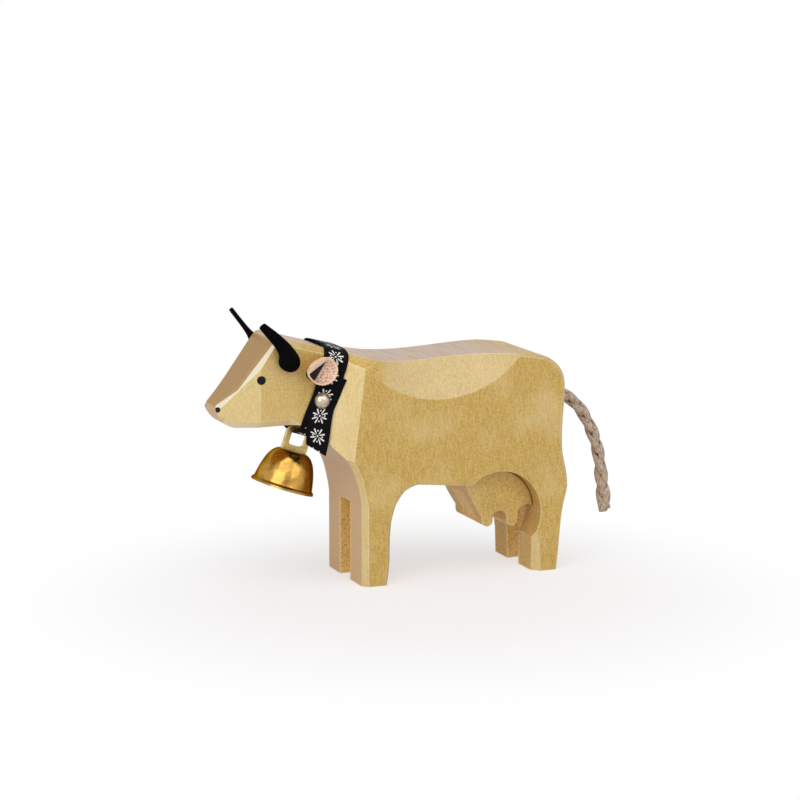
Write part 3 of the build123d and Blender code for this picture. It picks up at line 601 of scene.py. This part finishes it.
# Along the strap, bow, half width and half thickness, drawn for a strap of this length.
HORN_STRAP = 18.7
HORN_RINGS = [
    (-4.0, 0.0, 0.8, 0.8), (-3.6, 0.0, 1.9, 1.9), (-2.5, 0.0, 3.1, 3.1), (-1.0, 0.0, 3.9, 3.9),
    (0.5, 0.0, 4.1, 4.0), (2.0, 0.3, 3.9, 3.6), (3.5, 0.8, 3.4, 2.9), (5.0, 1.2, 3.0, 2.2),
    (7.0, 1.35, 2.6, 1.35), (9.7, 1.2, 2.35, 1.05), (12.7, 0.9, 2.15, 0.95), (15.6, 0.45, 1.85, 0.92),
    (18.5, 0.05, 1.5, 0.9), (19.1, 0.0, 1.45, 0.88), (19.2, 0.0, 1.2, 0.7),
]
# Each horn's node, its side, the rise of its tip in millimetres and the twist of its strap in degrees.
HORNS = (("horn_left", -1, 14.4, 0), ("horn_right", 1, 15.9, 80))
HORN_PEG_RADIUS = 3.6
HORN_PEG_LENGTH = 7.4
HORN_PEG_DEPTH = 3.1


def bent_horn(side, rise, twist):
    """A strap of leather that thickens and bends into a round knob, with its peg in the head."""
    mesh = bmesh.new()
    seat = Vector((HORN_SEAT[0], side * HORN_SEAT[1], HORN_SEAT[2]))
    knob = seat + Vector((0, side * HORN_STAND_OFF, 0))
    strap = seat + Vector((HORN_TIP_AHEAD, side * HORN_TIP_ASIDE, rise)) - knob
    ahead = strap.normalized()
    stretch = strap.length / HORN_STRAP
    bend = ahead.cross(Vector((0, -1, 0))).normalized()
    bend = Matrix.Rotation(math.radians(twist), 3, ahead) @ bend
    flat = ahead.cross(bend)
    rings = []
    for along, bow, half_width, half_thickness in HORN_RINGS:
        ring = bmesh.ops.create_circle(mesh, cap_ends=False, segments=HORN_SIDES, radius=1)["verts"]
        for vertex in ring:
            aside = bend * (bow + half_width * vertex.co.x) + flat * half_thickness * vertex.co.y
            vertex.co = (knob + ahead * along * stretch + aside) * MM
        rings.append(ring)
    close_skin(mesh, rings)
    middle = seat - Vector((0, side * HORN_PEG_DEPTH, 0))
    bmesh.ops.create_cone(
        mesh, cap_ends=True, segments=HORN_SIDES, radius1=HORN_PEG_RADIUS * MM, radius2=HORN_PEG_RADIUS * MM,
        depth=HORN_PEG_LENGTH * MM, matrix=Matrix.Translation(middle * MM) @ Matrix.Rotation(math.pi / 2, 4, "X"),
    )
    bmesh.ops.recalc_face_normals(mesh, faces=mesh.faces)
    for face in mesh.faces:
        face.smooth = len(face.verts) == 4
    return mesh_data("horn", mesh)


class COW_OT_horns(bpy.types.Operator):
    """Bend the horns from straps of black leather"""

    bl_idname = "toy_cow.horns"
    bl_label = "Horns"

    def execute(self, context):
        leather = horn_leather(context.scene.toy_cow.leather)
        for node, side, rise, twist in HORNS:
            piece = add_piece(f"bent_{node}", bent_horn(side, rise, twist), "cow", leather)
            smooth = piece.modifiers.new("smooth", "SUBSURF")
            smooth.levels = smooth.render_levels = 1
            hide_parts(node)
        return {"FINISHED"}


# Ears in millimetres: kind of ring, height over the seat, shift along the fold, half length and half height.
EAR_SEAT = (-33.9, 13.3, 84.6)
EAR_LEAN = math.radians(13)
EAR_SIDES = 96
RIM_HEIGHT = 7
HOLLOW_TOP = 6.3
EAR_RINGS = [
    ("stem", -6.8, 0.0, 2.05, 2.05), ("stem", 0.5, 0.0, 2.05, 2.05), ("flare", 2.6, 0.1, 4.0, 3.5),
    ("flare", 4.9, -0.1, 5.7, 4.8), ("rim", 6.7, -0.2, 6.65, 5.55), ("rim", 7.1, -0.2, 6.5, 5.4),
    ("lip", 7.1, -0.2, 6.3, 5.2), ("brim", 7.0, -0.2, 6.0, 4.9), ("hollow", HOLLOW_TOP, -0.1, 5.75, 4.65),
    ("hollow", 4.9, 0.3, 4.8, 3.95), ("hollow", 3.6, 0.55, 3.4, 2.9), ("hollow", 2.5, 0.8, 2.0, 1.8),
    ("hollow", 1.8, 1.0, 0.6, 0.6),
]
HOLLOW_STEPS = 5
EAR_FOLD = (3.0, -1.3)
EAR_DROOP = 0.5
EAR_PINCH = 0.22
RIM_NOTCHES = 32
NOTCH_DEPTH = 0.018
# The turned-in lip ends at a straight line: its direction, and its distance at the brim and below it.
LIP_LINE = (0.506, 0.862)
LIP_REACH = {"brim": 2.6, "hollow": 2.4}
# The painted shade in the fold starts at a line as well, which moves forward with depth.
DARK_LINE = (0.787, 0.616)
DARK_START = 0.6
DARK_SLANT = 0.683
DARK_BLUR = 1.2


def ear_rings():
    """The ear's rings, with finer steps down the hollow."""
    for ring, following in zip(EAR_RINGS, EAR_RINGS[1:] + EAR_RINGS[-1:]):
        steps = HOLLOW_STEPS if ring[0] == following[0] == "hollow" and ring is not following else 1
        for step in range(steps):
            yield ring[0], *(a + (b - a) * step / steps for a, b in zip(ring[1:], following[1:]))


def rolled_ear(side):
    """A tongue of leather rolled to a cup: stem, flare, notched rim, and a hollow deepest at the front."""
    mesh = bmesh.new()
    rim, lip, hollow = number_layers(mesh, "rim", "lip", "hollow")
    out = Vector((math.sin(EAR_LEAN), side * math.cos(EAR_LEAN), 0))
    ahead = Vector((-math.cos(EAR_LEAN), side * math.sin(EAR_LEAN), 0))
    seat = Vector((EAR_SEAT[0], side * EAR_SEAT[1], EAR_SEAT[2]))
    rings = []
    for kind, height, shift, half_length, half_height in ear_rings():
        ring = bmesh.ops.create_circle(mesh, cap_ends=False, segments=EAR_SIDES, radius=1)["verts"]
        for vertex in ring:
            turn = math.atan2(vertex.co.y, vertex.co.x)
            lean = 0.5 + 0.5 * vertex.co.x
            notch = 1 + (NOTCH_DEPTH * math.sin(RIM_NOTCHES * turn) if kind == "rim" else 0)
            low = EAR_DROOP * lean * min(max(height, 0) / RIM_HEIGHT, 1)
            pinch = 1 - (EAR_PINCH * lean ** 3 if kind != "stem" else 0)
            forward = EAR_FOLD[0] * shift + half_length * vertex.co.x * notch
            upward = EAR_FOLD[1] * shift + half_height * vertex.co.y * notch * pinch
            if kind == "brim" or height == HOLLOW_TOP:
                over = max(0.0, forward * LIP_LINE[0] + upward * LIP_LINE[1] - LIP_REACH[kind])
                forward, upward = forward - over * LIP_LINE[0], upward - over * LIP_LINE[1]
            vertex.co = (seat + out * (height - low) + ahead * forward + Vector((0, 0, upward))) * MM
            vertex[rim] = {"rim": 1.0, "lip": 0.9 - 0.9 * lean}.get(kind, 0.0)
            vertex[lip] = 1.0 if kind in ("lip", "brim") else 0.0
            # How far into the fold's painted shade each vertex lies.
            fold = forward * DARK_LINE[0] + upward * DARK_LINE[1] + DARK_SLANT * (RIM_HEIGHT - height) - DARK_START
            vertex[hollow] = min(max(fold / DARK_BLUR, 0.0), 1.0) if kind == "hollow" else 0.0
        rings.append(ring)
    close_skin(mesh, rings)
    bmesh.ops.recalc_face_normals(mesh, faces=mesh.faces)
    for face in mesh.faces:
        face.smooth = True
    return mesh_data("ear", mesh)


class COW_OT_ears(bpy.types.Operator):
    """Roll the ears from undyed leather"""

    bl_idname = "toy_cow.ears"
    bl_label = "Ears"

    def execute(self, context):
        leather = ear_leather(context.scene.toy_cow.leather)
        for node, side in (("ear_left", -1), ("ear_right", 1)):
            piece = add_piece(f"rolled_{node}", rolled_ear(side), "cow", leather)
            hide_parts(node)
        return {"FINISHED"}


# The neck that the ribbon lies on, in millimetres: its flat side, and the facet that runs out to the shoulder.
NECK_SIDE = 13.3
FACET_SLOPE = 0.609
FACET_REACH = 11.0
FACET_START = (-25.9, 84.5)
FACET_LEAN = math.tan(math.radians(7.3))

# The ribbon in millimetres: lift off the wood, then x and z of its front edge and of its rear edge.
RIBBON_STEPS = 6
FLOWER_START = 1.6
RIBBON_LEFT_OUTER = [
    (1.36, (-36.9, 56.4), (-29.3, 51.4)), (1.16, (-36.9, 60.0), (-27.9, 57.0)),
    (0.86, (-36.6, 66.0), (-26.9, 65.5)), (0.86, (-34.9, 72.8), (-25.4, 71.5)),
    (0.86, (-32.4, 79.1), (-23.4, 77.5)), (0.774, (-30.9, 84.9), (-22.3, 82.4)),
    (0.71, (-29.2, 89.6), (-20.7, 86.5)),
]
RIBBON_RIGHT = [
    (0.71, (-28.8, 89.7), (-19.9, 86.3)), (0.36, (-30.2, 84.0), (-21.0, 81.8)),
    (0.36, (-32.6, 76.0), (-23.3, 73.6)), (0.36, (-35.8, 68.0), (-26.8, 64.8)),
    (0.56, (-38.6, 63.0), (-30.0, 58.6)),
]
RIBBON_LEFT_INNER = [
    (0.56, (-38.8, 63.2), (-30.0, 58.8)), (0.36, (-37.2, 67.6), (-28.4, 63.6)),
    (0.36, (-34.6, 73.0), (-25.6, 69.2)), (0.36, (-32.0, 79.4), (-23.1, 75.8)),
    (0.36, (-30.2, 84.2), (-21.3, 80.5)),
]
# Over the neck: x and z of the front and rear edges, how far inside the neck's corner they turn, and their lift.
RIBBON_TOP = ((-28.1, 92.45, 2.0), (-19.1, 90.0, 2.9))
RIBBON_TOP_LIFT = 1.15
# Under the throat: x and z of the front and rear edges in the bail, and their change out to the throat's sides.
THROAT_HALF_WIDTH = 10.0
THROAT_FRONT = ((-37.6, 58.5), (-1.0, 2.5))
THROAT_REAR = ((-32.2, 57.2), (1.6, -0.6))


def neck_half_width(x, z):
    """Half the neck's width, in millimetres, where its knife-cut facet runs out to the shoulder."""
    bend = FACET_START[0] - FACET_LEAN * (FACET_START[1] - z)
    return NECK_SIDE + FACET_SLOPE * min(max(x - bend, 0), FACET_REACH)


def between(front, rear):
    """Places across the ribbon from its front edge to its rear edge."""
    return [Vector(front).lerp(Vector(rear), step / RIBBON_STEPS) for step in range(RIBBON_STEPS + 1)]


def beside_neck(side, lift, front, rear):
    """The ribbon at one place on the neck's side, lifted off the wood."""
    return [Vector((x, side * (neck_half_width(x, z) + lift), z)) * MM for x, z in between(front, rear)]


def ribbon_places():
    """The ribbon's edges from the hanging end on the left, over the neck, through the bail, to the pinned end."""
    places = [beside_neck(-1, *row) for row in RIBBON_LEFT_OUTER]
    for side in (-1, 0, 1):
        places.append(between(*(
            Vector((x, side * (neck_half_width(x, z) - eased), z + RIBBON_TOP_LIFT)) * MM for x, z, eased in RIBBON_TOP
        )))
    places += [beside_neck(1, *row) for row in RIBBON_RIGHT]
    for share in (1, 0.5, 0, -0.5, -1):
        places.append(between(*(
            Vector((x + more_x * abs(share), THROAT_HALF_WIDTH * share, z + more_z * abs(share))) * MM
            for (x, z), (more_x, more_z) in (THROAT_FRONT, THROAT_REAR)
        )))
    return places + [beside_neck(-1, *row) for row in RIBBON_LEFT_INNER]


def draw_strip(mesh, places):
    """Pull a row of edges along the ribbon's places; each vertex keeps its distance across and along."""
    across, along = number_layers(mesh, "across", "along")
    row = [mesh.verts.new(point) for point in places[0]]
    edges = [mesh.edges.new(pair) for pair in zip(row, row[1:])]
    middle = RIBBON_STEPS // 2
    run = 0.0
    last = places[0]
    for place in places:
        run += (place[middle] - last[middle]).length
        for i, vertex in enumerate(row):
            vertex.co = place[i]
            vertex[across] = (i / middle - 1) * (place[0] - place[-1]).length / 2
            vertex[along] = run
        last = place
        if place is not places[-1]:
            made = bmesh.ops.extrude_edge_only(mesh, edges=edges)["geom"]
            edges = [item for item in made if isinstance(item, bmesh.types.BMEdge)]
            fresh = [item for item in made if isinstance(item, bmesh.types.BMVert)]
            row = [min(fresh, key=lambda vertex: (vertex.co - point).length) for point in place]
    return run


class COW_OT_ribbon(bpy.types.Operator):
    """Lay the woven ribbon round the neck and through the bell's bail"""

    bl_idname = "toy_cow.ribbon"
    bl_label = "Collar Ribbon"

    def execute(self, context):
        settings = context.scene.toy_cow.ribbon
        mesh = bmesh.new()
        run = draw_strip(mesh, ribbon_places())
        across, along = (mesh.verts.layers.float[name] for name in ("across", "along"))
        lay_pattern(mesh, lambda vertex: (vertex[across] / MM, vertex[along] / MM - FLOWER_START))
        area = sum(face.calc_area() for face in mesh.faces)
        ribbon = mesh_data("ribbon_weave", mesh)
        piece = add_piece("ribbon_weave", ribbon, "cow", woven_ribbon(settings))
        smooth = piece.modifiers.new("smooth", "SUBSURF")
        smooth.levels = smooth.render_levels = 2
        smooth.boundary_smooth = "PRESERVE_CORNERS"
        body = piece.modifiers.new("thickness", "SOLIDIFY")
        body.thickness = settings.thickness
        body.offset = 0
        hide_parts("collar_ribbon")
        return {"FINISHED"}


class COW_OT_metalwork(bpy.types.Operator):
    """Finish the bell, its bail and clapper in brass and the nail in nickel"""

    bl_idname = "toy_cow.metalwork"
    bl_label = "Bell and Nail"

    def execute(self, context):
        settings = context.scene.toy_cow.bell
        # The bell's brass darkens towards its outline, as it mirrors dark surroundings there in the photograph.
        brass = polished_metal("polished_brass", settings.brass, (0.09, 0.22), edge="#94794A")
        satin = polished_metal("satin_brass", settings.satin, (0.3, 0.42), cast=1.0)
        # Less metallic than bare nickel, so that the nail's rim shows against the black ribbon.
        nickel = polished_metal("nickel_plate", settings.nickel, (0.08, 0.18), metallic=0.7)
        for node, metal in (
            ("bell_shell", brass), ("bell_bail", satin), ("bell_clapper", satin), ("collar_nail", nickel),
        ):
            wear(bpy.data.objects[node], metal)
        return {"FINISHED"}


TAIL_ROUTE = [
    (62.6, 0, 70.3), (71.6, 0, 68.8), (81.4, 0, 63.6), (88.4, 0, 54.4),
    (92.4, 0, 43.5), (94.6, 0, 31.3), (95.7, 0, 17.6),
]
# Shares of the rope's radius: a strand's radius, its reach up and down, and its reach to the sides.
STRAND_SHARE = 0.6
PLAIT_REACH = 0.96
PLAIT_DEPTH = 0.36
STRAND_SIDES = 20
# The cut end opens by this share over this length, and the strands are lumpy at this length.
FLARE = 0.18
FLARE_RUN = 22
LUMP = 0.06
LUMP_RUN = 1.9


def tail_line():
    """Points along the smooth line of the tail, from inside the rump to the cut end."""
    curve = bpy.data.curves.new("tail_line", "CURVE")
    curve.dimensions = "3D"
    spline = curve.splines.new("NURBS")
    spline.points.add(len(TAIL_ROUTE) - 1)
    for point, place in zip(spline.points, TAIL_ROUTE):
        point.co = (*(Vector(place) * MM), 1)
    spline.order_u = 3
    spline.use_endpoint_u = True
    spline.resolution_u = 24
    holder = add_object("tail_line", curve)
    line = bpy.data.meshes.new_from_object(holder.evaluated_get(bpy.context.evaluated_depsgraph_get()))
    points = [vertex.co.copy() for vertex in line.vertices]
    bpy.data.objects.remove(holder)
    bpy.data.meshes.remove(line)
    bpy.data.curves.remove(curve)
    return points


def pull_strand(mesh, centres, radii, beside):
    """Pull a ring of vertices along a line; each vertex keeps its turn and its run for the fibre pattern."""
    turn, run = (mesh.verts.layers.float[name] for name in ("turn", "run"))
    rings = []
    gone = 0.0
    for i, (centre, radius) in enumerate(zip(centres, radii)):
        before, after = centres[max(i - 1, 0)], centres[min(i + 1, len(centres) - 1)]
        ahead = (after - before).normalized()
        up = ahead.cross(beside).normalized()
        turned = Matrix((up.cross(ahead), up, ahead)).transposed()
        gone += (centre - before).length
        ring = bmesh.ops.create_circle(
            mesh, cap_ends=False, segments=STRAND_SIDES, radius=radius,
            matrix=Matrix.Translation(centre) @ turned.to_4x4(),
        )["verts"]
        for j, vertex in enumerate(ring):
            vertex[turn] = abs(2 * j / STRAND_SIDES - 1)
            vertex[run] = gone
        rings.append(ring)
    close_skin(mesh, rings)


class COW_OT_tail(bpy.types.Operator):
    """Plait the strands of the rope tail along its route"""

    bl_idname = "toy_cow.tail"
    bl_label = "Rope Tail"

    def execute(self, context):
        settings = context.scene.toy_cow.tail
        line = tail_line()
        mesh = bmesh.new()
        turn, run, hollow = number_layers(mesh, "turn", "run", "hollow")
        radius = settings.diameter / 2
        strand_radius = radius * STRAND_SHARE
        # The outer face of a strand stays a little inside the rope's own radius.
        swing = radius * PLAIT_REACH - strand_radius
        gone = [0.0]
        for a, b in zip(line, line[1:]):
            gone.append(gone[-1] + (b - a).length)
        beside = Vector((0, 1, 0))
        for strand in range(settings.strands):
            centres, radii = [], []
            for i, point in enumerate(line):
                ahead = (line[min(i + 1, len(line) - 1)] - line[max(i - 1, 0)]).normalized()
                up = ahead.cross(beside)
                phase = 2 * math.pi * (gone[i] / settings.lay + strand / settings.strands)
                flare = 1 + FLARE * max(0, 1 - (gone[-1] - gone[i]) / (FLARE_RUN * MM))
                lump = 1 + LUMP * math.sin(gone[i] / (LUMP_RUN * MM) + 2 * strand)
                away = up * math.sin(phase) * swing * flare + beside * math.sin(2 * phase) * radius * PLAIT_DEPTH
                centres.append(point + away)
                radii.append(strand_radius * flare * lump)
            pull_strand(mesh, centres, radii, beside)
        # Each vertex keeps how near it lies to the rope's middle line, for the painted shade between the strands.
        for vertex in mesh.verts:
            nearest = min((vertex.co - point).length for point in line)
            vertex[hollow] = max(0.0, 1 - nearest / radius)
        lay_pattern(mesh, lambda vertex: (vertex[turn], vertex[run] / MM))
        bmesh.ops.recalc_face_normals(mesh, faces=mesh.faces)
        rope = mesh_data("tail_strands", mesh)
        piece = add_piece("tail_strands", rope, "cow", jute_rope(settings))
        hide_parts("tail_rope")
        return {"FINISHED"}


# The camera is fitted to the photograph; places on the stage are in metres.
CAMERA_PLACE = (-0.38499, -0.97905, 0.25468)
CAMERA_RIGHT = (0.9283, -0.3718, 0.0)
CAMERA_AHEAD = (0.3661, 0.9141, -0.1741)
CAMERA_LENS = 124.16
STAGE_AIM = (0, 0, 0.05)
LAMPS = {"key": ((-0.35, -0.55, 1.0), 1.1), "left": ((-0.8, -0.85, 0.35), 0.9), "right": ((0.42, -0.88, 0.58), 0.7)}
FLOOR_SIZE = 6
FADE_MIDDLE = (0.0, -0.04, 0.0)
FADE_REACH = (0.04, 0.17)
FADE_SHARES = (0.55, 1.0)
CARD_PLACE = (-0.44, -1.12, 0.28)
CARD_SIZE = 0.12


def facing_aim(place, axis):
    """The rotation that turns an axis at a place on the stage towards the cow."""
    return (Vector(STAGE_AIM) - Vector(place)).to_track_quat(axis, "Y").to_euler()


def studio_lamp(name, place, size, power):
    """A square soft lamp that faces the cow."""
    lamp = bpy.data.lights.new(name, "AREA")
    lamp.size = size
    lamp.energy = power
    holder = add_object(name, lamp)
    holder.location = place
    holder.rotation_euler = facing_aim(place, "-Z")


def flat_square(name, size):
    """Mesh data of a level square, given half its side."""
    mesh = bmesh.new()
    bmesh.ops.create_grid(mesh, x_segments=1, y_segments=1, size=size)
    return mesh_data(name, mesh)


def seen_white(add):
    """1 where the camera, a mirror or glass sees the background, which is white there."""
    path = add("LightPath").outputs
    seen = add("Math", path["Is Camera Ray"], path["Is Glossy Ray"], operation="ADD")
    return add("Math", seen, path["Is Transmission Ray"], operation="ADD", use_clamp=True)


def studio_floor(settings):
    """Pale floor that keeps the shadow and fades to the white background away from the cow."""
    material, add, shader = new_finish("studio_floor")
    fill(shader, {"Base Color": settings.floor, "Roughness": 0.9})
    away = add("VectorMath", add("TexCoord").outputs["Object"], FADE_MIDDLE, operation="DISTANCE")
    fade = add("Math", seen_white(add), add("MapRange", away, *FADE_REACH, *FADE_SHARES), operation="MULTIPLY")
    blend = add("MixShader", fade, shader, add("Emission", linear("#FFFFFF"), 1.0))
    fill(material.node_tree.nodes["Material Output"], {"Surface": blend})
    piece = add_object("floor", flat_square("floor", FLOOR_SIZE))
    wear(piece, material)


def camera_card():
    """A dark card that only the polished metal sees, as it mirrors the camera."""
    material, _, shader = new_finish("card_camera")
    fill(shader, {"Base Color": linear("#272421"), "Roughness": 0.9})
    piece = add_object("card_camera", flat_square("card_camera", CARD_SIZE / 2))
    piece.location = CARD_PLACE
    piece.rotation_euler = facing_aim(CARD_PLACE, "Z")
    piece.visible_camera = piece.visible_diffuse = piece.visible_shadow = False
    wear(piece, material)


def white_world(settings):
    """Even light all round, white to the camera and in reflections."""
    world = bpy.data.worlds.new("studio")
    bpy.context.scene.world = world
    world.use_nodes = True
    add = partial(add_node, world.node_tree)
    strength = add("Math", seen_white(add), 1 - settings.sky, settings.sky, operation="MULTIPLY_ADD")
    fill(world.node_tree.nodes["Background"], {"Color": linear("#FFFFFF"), "Strength": strength})


def photo_camera():
    """The camera at the photograph's viewing angle."""
    camera = bpy.data.cameras.new("camera")
    camera.lens = CAMERA_LENS
    camera.sensor_width = 36
    camera.clip_start = 0.01
    holder = add_object("camera", camera)
    right, back = Vector(CAMERA_RIGHT), -Vector(CAMERA_AHEAD)
    turn = Matrix((right, back.cross(right), back)).transposed()
    holder.matrix_world = Matrix.Translation(CAMERA_PLACE) @ turn.to_4x4()
    return holder


class COW_OT_stage(bpy.types.Operator):
    """Set up the floor, lamps, white background and camera"""

    bl_idname = "toy_cow.stage"
    bl_label = "Stage"

    def execute(self, context):
        settings = context.scene.toy_cow.stage
        studio_floor(settings)
        white_world(settings)
        for name, (place, size) in LAMPS.items():
            studio_lamp(name, place, size, getattr(settings, name))
        camera_card()
        context.scene.camera = photo_camera()
        context.scene.view_settings.view_transform = "Standard"
        return {"FINISHED"}


OPERATORS = (
    COW_OT_gold_paint, COW_OT_horns, COW_OT_ears, COW_OT_ribbon, COW_OT_metalwork, COW_OT_tail, COW_OT_stage,
)


class COW_PT_toy_cow(bpy.types.Panel):
    """Lists the steps of the toy cow"""

    bl_idname = "COW_PT_toy_cow"
    bl_label = "Toy Cow"
    bl_space_type = "VIEW_3D"
    bl_region_type = "UI"
    bl_category = "Toy Cow"

    def draw(self, context):
        for operator in OPERATORS:
            self.layout.operator(operator.bl_idname)
        settings = context.scene.toy_cow
        for group in (settings.paint, settings.leather, settings.ribbon, settings.bell, settings.tail, settings.stage):
            box = self.layout.box()
            for name in group.__annotations__:
                box.prop(group, name)


CLASSES = (
    GoldPaintSettings, LeatherSettings, RibbonSettings, BellSettings, TailSettings, StageSettings, CowSettings,
    *OPERATORS, COW_PT_toy_cow,
)


def register():
    for cls in CLASSES:
        bpy.utils.register_class(cls)
    bpy.types.Scene.toy_cow = PointerProperty(type=CowSettings)


def unregister():
    del bpy.types.Scene.toy_cow
    for cls in reversed(CLASSES):
        bpy.utils.unregister_class(cls)


def main():
    register()
    bpy.ops.toy_cow.gold_paint()
    bpy.ops.toy_cow.horns()
    bpy.ops.toy_cow.ears()
    bpy.ops.toy_cow.ribbon()
    bpy.ops.toy_cow.metalwork()
    bpy.ops.toy_cow.tail()
    bpy.ops.toy_cow.stage()


if __name__ == "__main__":
    main()
